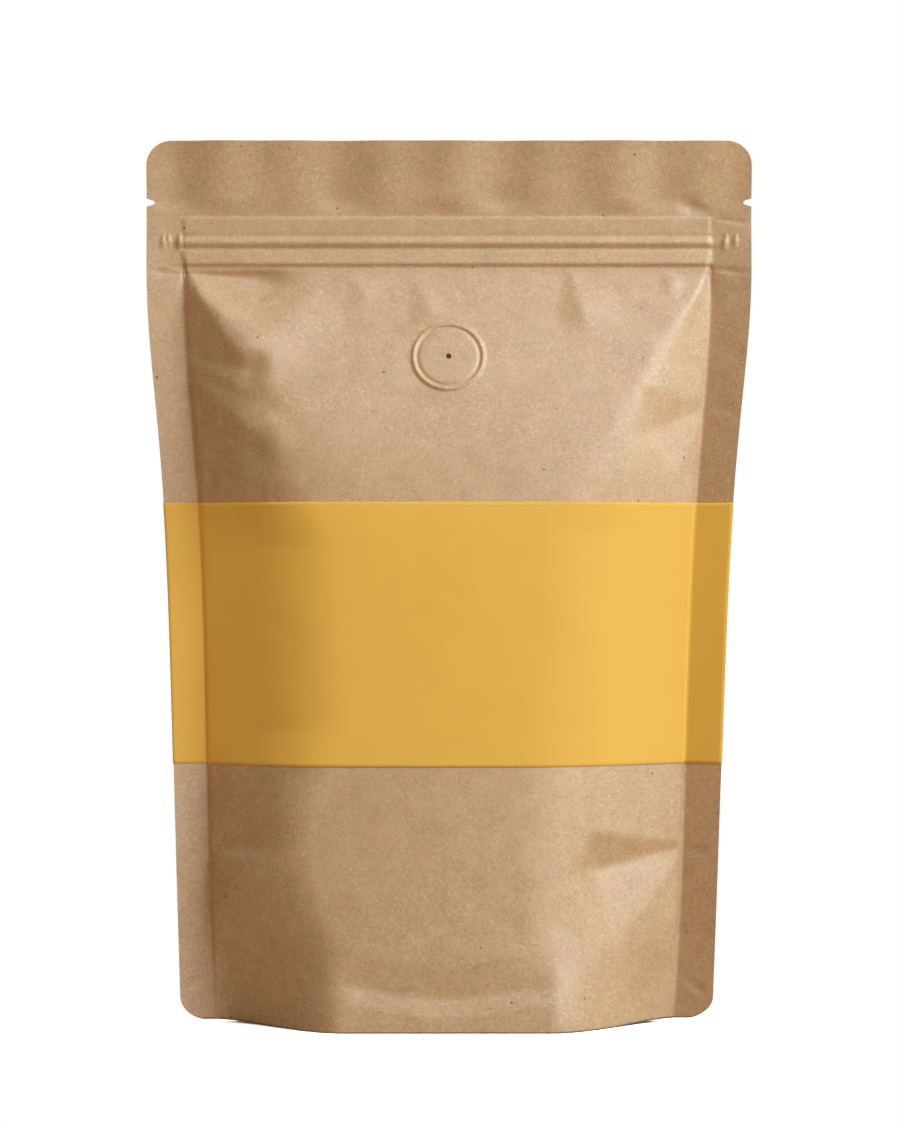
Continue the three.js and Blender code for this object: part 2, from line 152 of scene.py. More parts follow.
@dataclass(frozen=True)
class Hips:
    """Where the middle of a panel turns into its side slopes: shares of the way out, by height."""

    left: Table = (
        (0, 0.46), (12, 0.47), (23, 0.585), (30, 0.63), (44, 0.69), (62, 0.67), (78, 0.58), (126, 0.58),
        (144, 0.70), (165, 0.72), (175, 0.735), (186, 0.85), (191, 0.915), (199, 0.98),
    )
    right: Table = (
        (0, 0.50), (44, 0.49), (70, 0.50), (130, 0.54), (145, 0.65), (157, 0.72), (165, 0.76), (176, 0.83),
        (184, 0.88), (195, 0.955), (199, 0.98),
    )
    middle: float = 0.1  # the left hip's share blends into the right's over this much on either side

    def share(self, across: Places, z: Places) -> Places:
        """Distance of the hip from the middle.

        Args:
            across: places across the front, from -1 at the left seal to 1 at the right one.
            z: places up.

        Returns:
            A share of the way to the seal on that side, for each place.
        """
        left = np.interp(z, *zip(*self.left))
        right = np.interp(z, *zip(*self.right))
        return blend(left, right, smooth_step(across, -self.middle, self.middle))


@dataclass(frozen=True)
class Seal:
    """A side seal."""

    width: float  # on the flat pouch
    lean: Table  # degrees that it leans forward, by height

    def angle(self, z: Places) -> Places:
        """Angle in radians that the seal leans forward at a height."""
        return np.radians(np.interp(z, *zip(*self.lean)))


@dataclass(frozen=True)
class Fold:
    """A ridge, or with a negative rise a valley, which opens like a fan from the point where it starts."""

    start: Pair  # across and up
    end: Pair
    rise: float
    flanks: Pair  # widths of its left and right flank, seen along it
    peak: float = 0.7  # share of its length at which it is highest and widest
    crest: float = 0.4  # radius
    closes: tuple[bool, bool] = (False, False)  # whether its left and right flank narrow again to its end
    tip: float = 0.08  # share of a flank's width that it has at its start and at a closed end
    hollow: float = 1.08  # power that hollows the flanks a little

    def height(self, x: Places, z: Places) -> Places:
        """Height that the fold adds.

        Args:
            x: places across.
            z: places up.

        Returns:
            Heights in millimetres.
        """
        run = np.array(self.end) - np.array(self.start)
        length = float(np.hypot(*run))
        right, up = x - self.start[0], z - self.start[1]
        share = np.clip((right * run[0] + up * run[1]) / length**2, 0.0, 1.0)
        beside = (up * run[0] - right * run[1]) / length
        growth = np.minimum(1.0, share / self.peak)
        closing = np.minimum(1.0, (1.0 - share) / (1.0 - self.peak))
        opening = growth * np.where(np.where(beside > 0.0, *self.closes), closing, 1.0)
        width = np.where(beside > 0.0, *self.flanks) * np.maximum(opening, self.tip)
        away = np.sqrt(beside**2 + self.crest**2) - self.crest
        profile = np.maximum(0.0, 1.0 - away / width) ** self.hollow
        fade = 1.0 - smooth_step(share, self.peak, 1.0)
        return self.rise * growth * fade * profile


@dataclass(frozen=True)
class Swell:
    """A broad low bump, or with a negative rise a hollow, pushed out by what lies behind the paper."""

    centre: Pair  # across and up
    reach: Pair  # across and up, to where it has sunk to about an eighth
    rise: float

    def height(self, x: Places, z: Places) -> Places:
        """Height that the swell adds at places across and up."""
        right, up = (x - self.centre[0]) / self.reach[0], (z - self.centre[1]) / self.reach[1]
        return self.rise * np.exp(-2.0 * (right**2 + up**2))


@dataclass(frozen=True)
class Zip:
    """A press-to-close zip behind the paper: two ribs, and a flat flange above them."""

    profile: Table = (  # how far it stands out, by height above the floor
        (191.0, 0.0), (195.0, -0.4), (197.6, -0.6), (199.7, -0.4), (200.1, -0.3), (200.8, 0.64),
        (201.5, 0.74), (202.8, 0.76), (203.6, 0.62), (204.3, 0.42), (204.8, 0.12), (205.1, 0.3),
        (205.9, 1.0), (206.4, 1.12), (206.8, 1.04), (207.9, 0.3), (208.2, 0.24), (209.2, 0.36),
        (212.8, 0.36), (213.35, 0.0),
    )
    bottom: float = 199.3  # of its lower rib, under which the paper is tucked in
    top: float = 213.3
    tucked: Pair = (-1.5, 0.7)  # the panel's folds end between these, above its bottom
    crush: float = 0.75  # share of its height that it loses in the seals
    crushed: Pair = (-1.2, 0.8)  # distances into a seal between which it is crushed
    ends: Pair = (0.5, 4.0)  # distances into a seal between which it ends

    def height(self, z: Places, into_seal: Places) -> Places:
        """Height that the zip adds.

        Args:
            z: places up.
            into_seal: their distances into the seal, which are negative beside it.

        Returns:
            Heights in millimetres.
        """
        rise = np.interp(z, *zip(*self.profile))
        left_over = 1.0 - self.crush * smooth_step(into_seal, *self.crushed)
        return rise * left_over * (1.0 - smooth_step(into_seal, *self.ends))


@dataclass(frozen=True)
class Valve:
    """A one-way valve welded behind the paper, which shows as a disc with a rim and a pinhole."""

    height: float = 175.8  # of its centre above the floor
    radius: float = 9.75
    settle: float = 15.0  # radius at which the paper follows the filling again
    profile: Table = (  # how far its face and its rim stand out, by radius
        (0.0, 0.55), (7.3, 0.55), (7.75, 0.42), (8.15, 0.12), (8.45, 0.14), (8.95, 0.66), (9.2, 0.75),
        (9.5, 0.5), (9.85, 0.06), (10.2, 0.0),
    )
    hole: float = 0.62  # radius
    hole_edge: float = 0.16
    hole_depth: float = 1.6

    def relief(self, radius: Places) -> Places:
        """Height that the disc adds at a distance from its centre."""
        pierced = 1.0 - smooth_step(radius, self.hole - self.hole_edge, self.hole + self.hole_edge)
        return np.interp(radius, *zip(*self.profile)) - self.hole_depth * pierced


@dataclass(frozen=True)
class Gusset:
    """The bottom, folded in between the front and the back."""

    depth: float = 43.0  # height of its fold at the side seals
    skirt: float = 8.3  # height of its weld at the middle of the pouch
    sweep: float = 2.8  # power of the curve from one to the other
    flat_half: float = 27.0  # half the flat front of the bottom edge
    pinch_half: float = 60.5  # from here out the bottom edge lies in the plane of the seals
    pinch_rise: float = 30.0  # the pinched shape of the bottom edge fades out by this height
    pocket_ends: Pair = (56.0, 61.0)  # the hollow below it narrows to nothing between these
    roof: float = 0.4  # share of its width, from the fold, that lies level; the rest is its walls
    sag: float = 1.5  # the filling presses the middle down by this much
    skirt_layers: float = 0.35  # thickness of the welded skirt
    hem: float = 0.97  # share of its width from which the skirt thins out to the bottom edge
    crease: float = 1.15  # depth of the valley where the filling bulges over the weld
    crease_above: float = 0.5  # height of the valley above the skirt, at the middle
    crease_half: float = 31.0  # the valley ends this far from the middle
    crease_full: float = 0.65  # share of that distance to which it keeps its full depth
    crease_flanks: Pair = (9.0, 5.0)  # widths of its upper and lower flank
    crease_hollow: float = 1.15  # power that hollows the flanks a little
    crease_rise: float = 4.6  # the valley bends up by this much towards its ends
    crease_sweep: float = 1.5  # power of that bend

    def weld_height(self, x: Places, panel_half: Places) -> Places:
        """Height of the weld, which sweeps from the skirt up to the side seals."""
        share = np.minimum(1.0, np.abs(x) / panel_half)
        return self.skirt + (self.depth - self.skirt) * share**self.sweep

    def valley(self, x: Places, z: Places) -> Places:
        """Height, which is negative, that the valley along the weld adds.

        Args:
            x: places across.
            z: places up.

        Returns:
            Heights in millimetres.
        """
        share = np.minimum(1.0, np.abs(x) / self.crease_half)
        above = z - self.skirt - self.crease_above - self.crease_rise * share**self.crease_sweep
        width = np.where(above > 0.0, *self.crease_flanks)
        ends = 1.0 - smooth_step(share, self.crease_full, 1.0)
        profile = np.maximum(0.0, 1.0 - np.abs(above) / width) ** self.crease_hollow
        return -self.crease * ends * profile


@dataclass(frozen=True)
class Wave:
    """A gentle wave of the header, to and fro across the width."""

    length: float
    rise: float
    start: float  # angle in radians at the middle

    def height(self, x: Places) -> Places:
        """Height of the wave at places across."""
        return self.rise * np.sin(2.0 * math.pi * x / self.length + self.start)


@dataclass(frozen=True)
class Paper:
    """The paper of the standing pouch: where every place of the flat web has come to lie."""

    width: float = 160.0  # laid flat, over both side seals
    height: float = 233.5
    left_seal: Seal = Seal(
        9.4, ((0, 22), (35, 24), (73, 20), (112, 12), (140, 8), (195, 8), (215, 3), (233, 0))
    )
    right_seal: Seal = Seal(
        10.7, ((0, 22), (35, 29), (75, 29), (120, 27), (150, 26), (195, 20), (216, 6), (233, 0))
    )
    layers: float = 0.9  # thickness where the layers are welded together
    top_corner: float = 6.7  # radius
    bottom_corner: float = 7.2  # radius
    corner_lift: Pair = (0.9, 1.3)  # the left and right bottom corners are off the floor
    lift_reach: Pair = (40.0, 66.0)  # distances from the middle between which they lift
    lean: float = 0.7  # the bottom sits this far to the left of the top
    curl: Pair = (9.0, 15.0)  # degrees that the header leans forward, below and above
    notch_height: float = 217.0
    notch_opening: float = 2.2
    notch_straight: float = 1.3  # depth to which its two edges run straight in
    notch_depth: float = 2.2  # of its point
    filling: Filling = Filling()
    hips: Hips = Hips()
    zip: Zip = Zip()
    valve: Valve = Valve()
    gusset: Gusset = Gusset()
    waves: tuple[Wave, ...] = (Wave(21.2, 0.42, 0.77), Wave(47.0, 0.5, 2.4))
    wave_start: float = 5.0  # height above the zip over which the header's waves grow
    folds: tuple[Fold, ...] = ()
    seal_folds: tuple[Fold, ...] = ()
    swells: tuple[Swell, ...] = ()
    crumple: float = 0.09  # height of the small unevenness of handled paper
    bump_size: float = 17.0
    small_bump_size: float = 7.0
    small_bump_share: float = 0.6  # of the height of the other bumps
    dent_size: float = 11.0
    held: float = 0.975  # share of the way across from which relief fades out to the seal
    header_start: float = 3.0  # height above the zip over which relief grows again
    header_share: float = 0.25  # of the relief that the header keeps

    def flat_root(self, flat_x: Places) -> Places:
        """Distance of a seal's inner edge from the middle of the flat pouch, on the side of a place."""
        return self.width / 2.0 - np.where(flat_x < 0.0, self.left_seal.width, self.right_seal.width)

    def half_width(self, z: Places) -> Places:
        """Half the distance between the seals' outer edges of the filled pouch."""
        return self.width / 2.0 - self.filling.shortening * self.filling.bulge(z) ** 2

    def seal_angle(self, flat_x: Places, z: Places) -> Places:
        """Angle in radians that the seal on the side of a place leans forward at a height."""
        return np.where(flat_x < 0.0, self.left_seal.angle(z), self.right_seal.angle(z))

    def root(self, flat_x: Places, z: Places) -> Places:
        """Distance of a seal's inner edge from the middle of the filled pouch, on the side of a place."""
        seal_width = self.width / 2.0 - self.flat_root(flat_x)
        return self.half_width(z) - seal_width * np.cos(self.seal_angle(flat_x, z))

    def round_corners(self, flat_x: Places, z: Places) -> tuple[Places, Places]:
        """Draws the square corners of the flat pouch in to arcs.

        Args:
            flat_x: places across the flat pouch.
            z: places up it.

        Returns:
            The places across and up, drawn in near the four corners.
        """
        for radius, corner_z, up in (
            (self.top_corner, self.height, 1.0),
            (self.bottom_corner, 0.0, -1.0),
        ):
            out = np.clip((np.abs(flat_x) - self.width / 2.0 + radius) / radius, 0.0, 1.0)
            rise = np.clip((up * (z - corner_z) + radius) / radius, 0.0, 1.0)
            flat_x = flat_x - np.sign(flat_x) * radius * out * (1.0 - np.sqrt(1.0 - rise**2 / 2.0))
            z = z - up * radius * rise * (1.0 - np.sqrt(1.0 - out**2 / 2.0))
        return flat_x, z

    def cut_notches(self, flat_x: Places, z: Places) -> Places:
        """Draws the outermost strip of the seals in where the tear notches are.

        Args:
            flat_x: places across the flat pouch.
            z: places up it.

        Returns:
            The places across, drawn in at the notches.
        """
        away = np.abs(z - self.notch_height)
        half = self.notch_opening / 2.0
        pointed = blend(self.notch_depth, self.notch_straight, np.minimum(1.0, away / half))
        depth = np.where(away <= half, pointed, 0.0)
        inner = self.width / 2.0 - 2.0 * self.notch_depth
        share = np.clip((np.abs(flat_x) - inner) / (self.width / 2.0 - inner), 0.0, 1.0)
        return flat_x - np.sign(flat_x) * depth * share

    def section(self, across: Places, z: Places) -> Places:
        """How the bulge falls off across the front.

        Args:
            across: places across the front, from -1 at the left seal to 1 at the right one.
            z: places up.

        Returns:
            A share of the full bulge for each place, from 1 at the middle to 0 at a seal.
        """
        away = np.abs(across)
        hip = self.hips.share(across, z)
        crown, foot, foot_width = self.filling.crown, self.filling.foot, self.filling.foot_width
        middle = 1.0 - crown * away**2
        steepness = (1.0 - crown * hip**2 - foot) / (1.0 - foot_width - hip)
        slope = foot + steepness * (1.0 - foot_width - away)
        turn = np.interp(z, *zip(*self.filling.turns))
        filled = soft_min(middle, slope, turn) * np.minimum(1.0, (1.0 - away) / foot_width)
        gusset = self.gusset
        pinched = 1.0 - smooth_step(away * self.root(across, z), gusset.flat_half, gusset.pinch_half)
        return blend(pinched, filled, smooth_step(z, 0.0, gusset.pinch_rise))

    def relief(self, side: Side, x: Places, z: Places) -> Places:
        """Height that folds, swells and crumpling add, seen from that side.

        Args:
            side: the face of the pouch.
            x: places across, as seen from that side.
            z: places up.

        Returns:
            Heights in millimetres.
        """
        height = np.zeros_like(x)
        for form in (*self.folds, *self.swells):
            height += form.height(x, z)
        height += self.gusset.valley(x, z)
        seed = 3.0 + side.value
        height += self.crumple * rough(x, z, self.bump_size, seed)
        height += self.crumple * self.small_bump_share * rough(x, z, self.small_bump_size, seed + 5.0)
        height -= self.crumple * np.abs(rough(x, z, self.dent_size, seed + 9.0))
        return height

    def place(self, side: Side, flat_x: Places, flat_z: Places) -> np.ndarray:
        """Where places of the flat front or back lie on the standing pouch.

        Args:
            side: the face of the pouch.
            flat_x: places across the flat pouch, from its middle.
            flat_z: places up it.

        Returns:
            One row of X, Y and Z for each place.
        """
        flat_x, z = self.round_corners(self.cut_notches(flat_x, flat_z), flat_z)
        hand = np.sign(flat_x)
        across = np.clip(flat_x / self.flat_root(flat_x), -1.0, 1.0)
        into_seal = np.abs(flat_x) - self.flat_root(flat_x)
        out = np.maximum(0.0, into_seal)
        angle = self.seal_angle(flat_x, z)
        x = across * self.root(flat_x, z) + hand * out * np.cos(angle)
        seen_x = -side.value * x
        gathered = self.filling.bulge(z) * self.section(-side.value * across, z)
        free = 1.0 - smooth_step(np.abs(across), self.held, 1.0)
        below_zip = 1.0 - smooth_step(z, *(self.zip.bottom + up for up in self.zip.tucked))
        above_zip = smooth_step(z, self.zip.top, self.zip.top + self.header_start)
        relief = self.relief(side, seen_x, z)
        rise = gathered + relief * np.maximum(free * below_zip, self.header_share * above_zip)
        if side is Side.FRONT:
            rise = self.set_valve(rise, x, z)
        rise += self.layers / 2.0 + self.zip.height(z, into_seal)
        forward = self.header_wave(x, z) + out * np.sin(angle)
        for fold in self.seal_folds:
            forward += fold.height(x, z)
        curl_forward, curled_z = self.curl_header(z)
        y = side.value * rise - forward - curl_forward
        lift = np.where(hand < 0, *self.corner_lift) * smooth_step(np.abs(x), *self.lift_reach)
        lift *= 1.0 - smooth_step(z, 0.0, self.gusset.skirt)
        leftward = self.lean * (1.0 - z / self.height)
        return np.column_stack((x - leftward, y, curled_z + lift))

    def set_valve(self, rise: Places, x: Places, z: Places) -> Places:
        """Flattens the paper round the stiff valve and adds its relief.

        Args:
            rise: how far the paper stands out from the plane of the seals.
            x: places across.
            z: places up.

        Returns:
            The rises with the valve.
        """
        valve = self.valve
        step = 1.0  # below and above the centre, to take the panel's slope
        low, high = (self.filling.bulge(np.array([valve.height + up]))[0] for up in (-step, step))
        slope = (high - low) / (2.0 * step)
        up = z - valve.height
        radius = np.hypot(x, up * math.hypot(1.0, slope))
        plane = (low + high) / 2.0 + slope * up
        stiff = 1.0 - smooth_step(radius, valve.radius, valve.settle)
        return blend(rise, plane, stiff) + valve.relief(radius)

    def header_wave(self, x: Places, z: Places) -> Places:
        """How far the flat header waves forward, out of the plane of the seals."""
        free = smooth_step(z, self.zip.top, self.zip.top + self.wave_start)
        return free * sum(wave.height(x) for wave in self.waves)

    def curl_header(self, z: Places) -> tuple[Places, Places]:
        """Curls the header above the zip forward.

        Args:
            z: places up the flat pouch.

        Returns:
            How far forward they come to lie, and at which height.
        """
        above = np.maximum(0.0, z - self.zip.top)
        low, high = (math.radians(angle) for angle in self.curl)
        angle = low + (high - low) / 2.0 * above / (self.height - self.zip.top)
        return above * np.sin(angle), z - above * (1.0 - np.cos(angle))

    def place_gusset(self, flat_x: Places, share: Places) -> np.ndarray:
        """Where places of the gusset lie.

        Args:
            flat_x: places across the flat pouch.
            share: from -1 at the back's bottom edge to 1 at the front's.

        Returns:
            One row of X, Y and Z for each place.
        """
        gusset = self.gusset
        floor = np.zeros_like(flat_x)
        front = self.place(Side.FRONT, flat_x, floor)
        back = self.place(Side.BACK, flat_x, floor)
        straight = back + (front - back) * ((share + 1.0) / 2.0)[:, None]
        middle = (front[:, 1] + back[:, 1]) / 2.0
        panel_half = self.root(flat_x, floor)
        x = np.clip(flat_x / self.flat_root(flat_x), -1.0, 1.0) * panel_half
        from_fold = np.abs(share)
        on_wall = np.clip((from_fold - gusset.roof) / (1.0 - gusset.roof), 0.0, 1.0)
        on_roof = np.clip(from_fold / gusset.roof, 0.0, 1.0)
        shell = gusset.skirt_layers * (1.0 - smooth_step(from_fold, gusset.hem, 1.0))
        weld = gusset.weld_height(x, panel_half)
        z = weld * (1.0 - on_wall)
        filled = self.section(x / panel_half, floor)
        sag = gusset.sag * (1.0 - smooth_step(on_roof, 0.0, 1.0)) * filled
        hollow = np.column_stack((front[:, 0], middle, weld - sag))
        for side in Side:
            chosen = np.sign(share) == -side.value
            outer = self.place(side, flat_x, z)
            wall_y = outer[:, 1] - side.value * shell
            y = middle + (wall_y - middle) * on_roof
            y = np.where(side.value * (y - middle) < 0.0, middle, y)
            hollow[chosen] = np.column_stack((outer[:, 0], y, z - sag))[chosen]
        open_share = 1.0 - smooth_step(np.abs(x), *gusset.pocket_ends)
        return straight + (hollow - straight) * open_share[:, None]


# ---- Shader nodes ----


def to_linear(hex_colour: str) -> Colour:
    """Turns a colour into the linear values that a shader takes.

    Args:
        hex_colour: an sRGB colour, such as "#b89470".

    Returns:
        Its linear red, green and blue, and an alpha of 1.
    """
    channels = [int(hex_colour[i : i + 2], 16) / 255.0 for i in (1, 3, 5)]
    red, green, blue = (c / 12.92 if c <= 0.04045 else ((c + 0.055) / 1.055) ** 2.4 for c in channels)
    return (red, green, blue, 1.0)


def add_node(
    tree: Tree,
    kind: str,
    settings: dict[str, object] | None = None,
    inputs: dict[str | int, object] | None = None,
) -> bpy.types.Node:
    """Adds a node with its settings and links.

    Args:
        tree: the node tree that gets the node.
        kind: the node's type.
        settings: values of the node's own properties.
        inputs: for a socket's name or number, its value, or the socket that feeds it.

    Returns:
        The new node.
    """
    node = tree.nodes.new(kind)
    for name, value in (settings or {}).items():
        setattr(node, name, value)
    for name, value in (inputs or {}).items():
        if isinstance(value, Socket):
            tree.links.new(value, node.inputs[name])
        else:
            node.inputs[name].default_value = value
    return node


def tint(
    tree: Tree,
    below: Socket | Colour,
    above: str,
    pattern: Socket,
    bounds: Pair,
    strength: float = 1.0,
    soft: bool = True,
) -> Socket:
    """Lays a colour over another where the values of a pattern go from one bound to the other.

    Args:
        tree: the node tree.
        below: the colour below.
        above: the sRGB colour on top.
        pattern: the pattern's values.
        bounds: the value at which the colour on top begins, and the one at which it is full.
        strength: its share where it is full.
        soft: whether it begins and ends gently.

    Returns:
        The mixed colour.
    """
    share = add_node(
        tree, "ShaderNodeMapRange", settings={"interpolation_type": "SMOOTHSTEP" if soft else "LINEAR"},
        inputs={"Value": pattern, "From Min": bounds[0], "From Max": bounds[1], "To Max": strength},
    )
    mixed = add_node(
        tree, "ShaderNodeMix", settings={"data_type": "RGBA"},
        inputs={0: share.outputs[0], 6: below, 7: to_linear(above)},
    )
    return mixed.outputs[2]


def empty_tree(owner: Material | bpy.types.World) -> Tree:
    """Clears a node tree.

    Args:
        owner: the material or the room that it belongs to.

    Returns:
        The tree, without the nodes that it started with.
    """
    owner.use_nodes = True
    owner.node_tree.nodes.clear()
    return owner.node_tree


@dataclass(frozen=True)
class KraftPaper:
    """Kraft paper: unbleached sulphate pulp, laminated to a barrier film and lightly calendered.

    The eye sees a warm brown with pale and dark fibres in it, cloudy where the pulp lies thicker,
    sparse dark specks of bark, and a soft satin sheen.
    """

    base: str = "#c0996f"
    cloud: str = "#af885f"
    reddish: str = "#be8d68"
    pale_fibre: str = "#e3c29b"
    dark_fibre: str = "#7d5936"
    speck: str = "#4a2a12"
    roughness: float = 0.6
    film_index: float = 2.2  # of the satin film that seals the paper
    cloud_size: float = 7.0  # this and the sizes below are in millimetres
    cloud_detail: float = 6.0
    cloud_grit: float = 0.74  # how strong the finer clouds are beside the larger ones
    cloud_range: Pair = (0.34, 0.66)  # of the pattern's values, from cloud to base
    reddish_range: Pair = (0.45, 0.7)
    reddish_share: float = 0.7  # of the reddish colour in the middle of a patch
    fibre_length: float = 1.6
    fibre_width: float = 0.22
    fibre_strength: float = 0.45
    fibre_range: Pair = (0.6, 0.72)
    fibre_turns: tuple[float, ...] = (8.0, 38.0, 70.0, 100.0, 132.0, 163.0)  # degrees
    grain_size: float = 0.5
    grain_height: float = 0.1
    grain_strength: float = 0.12
    speck_spacing: float = 8.0
    speck_radius: float = 0.38
    speck_core: float = 0.6  # share of its radius that is fully dark

    def build(self) -> Material:
        """Builds the finish from its patterns.

        Returns:
            The material.
        """
        material = bpy.data.materials.new("laminated_kraft_paper")
        tree = empty_tree(material)
        place = add_node(tree, "ShaderNodeTexCoord").outputs["Object"]
        colour = self.add_clouds(tree, place)
        colour = self.add_fibres(tree, place, colour)
        colour = self.add_specks(tree, place, colour)
        grain = add_node(
            tree, "ShaderNodeTexNoise",
            inputs={"Vector": place, "Scale": 1.0 / (self.grain_size * MM), "Detail": 3.0},
        )
        bump = add_node(
            tree,
            "ShaderNodeBump",
            inputs={
                "Height": grain.outputs[0],
                "Strength": self.grain_strength,
                "Distance": self.grain_height * MM,
            },
        )
        shader = add_node(
            tree,
            "ShaderNodeBsdfPrincipled",
            inputs={
                "Base Color": colour,
                "Roughness": self.roughness,
                "IOR": self.film_index,
                "Normal": bump.outputs[0],
            },
        )
        add_node(tree, "ShaderNodeOutputMaterial", inputs={"Surface": shader.outputs[0]})
        return material

    def add_clouds(self, tree: Tree, place: Socket) -> Socket:
        """Mixes the paper's ground colour, cloudy where the pulp lies thicker and reddish in places.

        Args:
            tree: the material's node tree.
            place: the place on the object.

        Returns:
            The ground colour.
        """
        clouds = add_node(
            tree,
            "ShaderNodeTexNoise",
            inputs={
                "Vector": place,
                "Scale": 1.0 / (self.cloud_size * MM),
                "Detail": self.cloud_detail,
                "Roughness": self.cloud_grit,
            },
        )
        ground = tint(
            tree, to_linear(self.cloud), self.base, clouds.outputs[0], self.cloud_range, soft=False
        )
        patches = add_node(
            tree, "ShaderNodeTexNoise", settings={"noise_dimensions": "4D"},
            inputs={"Vector": place, "W": 3.0, "Scale": 2.0 / (self.cloud_size * MM), "Detail": 3.0},
        )
        bounds, strength = self.reddish_range, self.reddish_share
        return tint(tree, ground, self.reddish, patches.outputs[0], bounds, strength, soft=False)

    def add_fibres(self, tree: Tree, place: Socket, colour: Socket) -> Socket:
        """Lays short pale and dark fibres in several directions over a colour.

        Args:
            tree: the material's node tree.
            place: the place on the object.
            colour: the colour below.

        Returns:
            The colour with the fibres.
        """
        length, width = self.fibre_length * MM, self.fibre_width * MM
        shades = (self.pale_fibre, self.dark_fibre)
        for number, degrees in enumerate(self.fibre_turns):
            turned = add_node(
                tree,
                "ShaderNodeMapping",
                settings={"vector_type": "TEXTURE"},
                inputs={
                    "Vector": place,
                    "Rotation": (0.0, math.radians(degrees), 0.0),
                    "Scale": (length, 4.0 * length, width),
                },
            )
            strokes = add_node(
                tree, "ShaderNodeTexNoise", settings={"noise_dimensions": "4D"},
                inputs={"Vector": turned.outputs[0], "W": float(number), "Scale": 1.0, "Detail": 1.0},
            )
            colour = tint(
                tree, colour, shades[number % 2], strokes.outputs[0], self.fibre_range, self.fibre_strength
            )
        return colour

    def add_specks(self, tree: Tree, place: Socket, colour: Socket) -> Socket:
        """Strews sparse dark specks of bark over a colour.

        Args:
            tree: the material's node tree.
            place: the place on the object.
            colour: the colour below.

        Returns:
            The colour with the specks.
        """
        cells = add_node(
            tree, "ShaderNodeTexVoronoi",
            inputs={"Vector": place, "Scale": 1.0 / (self.speck_spacing * MM), "Randomness": 1.0},
        )
        radius = self.speck_radius / self.speck_spacing
        bounds = (radius, self.speck_core * radius)
        return tint(tree, colour, self.speck, cells.outputs["Distance"], bounds)


@dataclass(frozen=True)
class YellowPaper:
    """Label paper: smooth coated paper printed all over in one yellow. It looks flat and matte."""

    base: str = "#e9be55"
    deep: str = "#e4b84e"
    roughness: float = 0.7
    specular: float = 0.4
    cloud_size: float = 14.0  # millimetres

    def build(self) -> Material:
        """Builds the finish from its patterns.

        Returns:
            The material.
        """
        material = bpy.data.materials.new("printed_yellow_paper")
        tree = empty_tree(material)
        place = add_node(tree, "ShaderNodeTexCoord").outputs["Object"]
        clouds = add_node(
            tree, "ShaderNodeTexNoise",
            inputs={"Vector": place, "Scale": 1.0 / (self.cloud_size * MM), "Detail": 4.0},
        )
        mixed = add_node(
            tree, "ShaderNodeMix", settings={"data_type": "RGBA"},
            inputs={0: clouds.outputs[0], 6: to_linear(self.deep), 7: to_linear(self.base)},
        )
        shader = add_node(
            tree,
            "ShaderNodeBsdfPrincipled",
            inputs={
                "Base Color": mixed.outputs[2],
                "Diffuse Roughness": 1.0,
                "Roughness": self.roughness,
                "Specular IOR Level": self.specular,
            },
        )
        add_node(tree, "ShaderNodeOutputMaterial", inputs={"Surface": shader.outputs[0]})
        return material


# ---- Pieces ----


def add_object(name: str, mesh: Mesh, material: Material) -> bpy.types.Object:
    """Adds a mesh in millimetres to the scene.

    Args:
        name: the object's name.
        mesh: its mesh, which is freed.
        material: its finish.

    Returns:
        The object, at the origin and in metres.
    """
    bmesh.ops.scale(mesh, vec=(MM, MM, MM), verts=mesh.verts)
    data = bpy.data.meshes.new(name)
    mesh.to_mesh(data)
    mesh.free()
    data.materials.append(material)
    added = bpy.data.objects.new(name, data)
    bpy.context.scene.collection.objects.link(added)
    return added


def finish_piece(name: str, mesh: Mesh, material: Material) -> bpy.types.Object:
    """Makes a smooth piece of a closed mesh, with its faces pointing out.

    Args:
        name: the piece's name.
        mesh: its mesh, which is freed.
        material: its finish.

    Returns:
        The object, at the origin and in metres.
    """
    bmesh.ops.recalc_face_normals(mesh, faces=mesh.faces)
    if mesh.calc_volume(signed=True) < 0:
        bmesh.ops.reverse_faces(mesh, faces=mesh.faces)
    for face in mesh.faces:
        face.smooth = True
    return add_object(name, mesh, material)


def lay_grid(columns: np.ndarray, rows: np.ndarray) -> Mesh:
    """Makes a grid whose vertices hold their place on the flat paper.

    Args:
        columns: places across, which are held in X.
        rows: places along, which are held in Y.

    Returns:
        The flat grid.
    """
    mesh = bmesh.new()
    bmesh.ops.create_grid(mesh, x_segments=len(columns) - 1, y_segments=len(rows) - 1, size=1.0)
    for vertex in mesh.verts:
        column = round((vertex.co.x + 1.0) / 2.0 * (len(columns) - 1))
        row = round((vertex.co.y + 1.0) / 2.0 * (len(rows) - 1))
        vertex.co = (columns[column], rows[row], 0.0)
    return mesh


def shape_grid(mesh: Mesh, placed: Callable[[Places, Places], np.ndarray]) -> None:
    """Moves a flat grid's vertices to where its places have come to lie.

    Args:
        mesh: the flat grid.
        placed: for places across and along, gives one row of X, Y and Z each.
    """
    vertices = list(mesh.verts)
    flat = np.array([vertex.co[:2] for vertex in vertices])
    for vertex, point in zip(vertices, placed(flat[:, 0], flat[:, 1]).tolist()):
        vertex.co = point


def edges_where(mesh: Mesh, chosen: Callable[[Vector], bool]) -> Edges:
    """The edges whose two ends are both chosen."""
    picked = {vertex for vertex in mesh.verts if chosen(vertex.co)}
    return [edge for edge in mesh.edges if edge.verts[0] in picked and edge.verts[1] in picked]


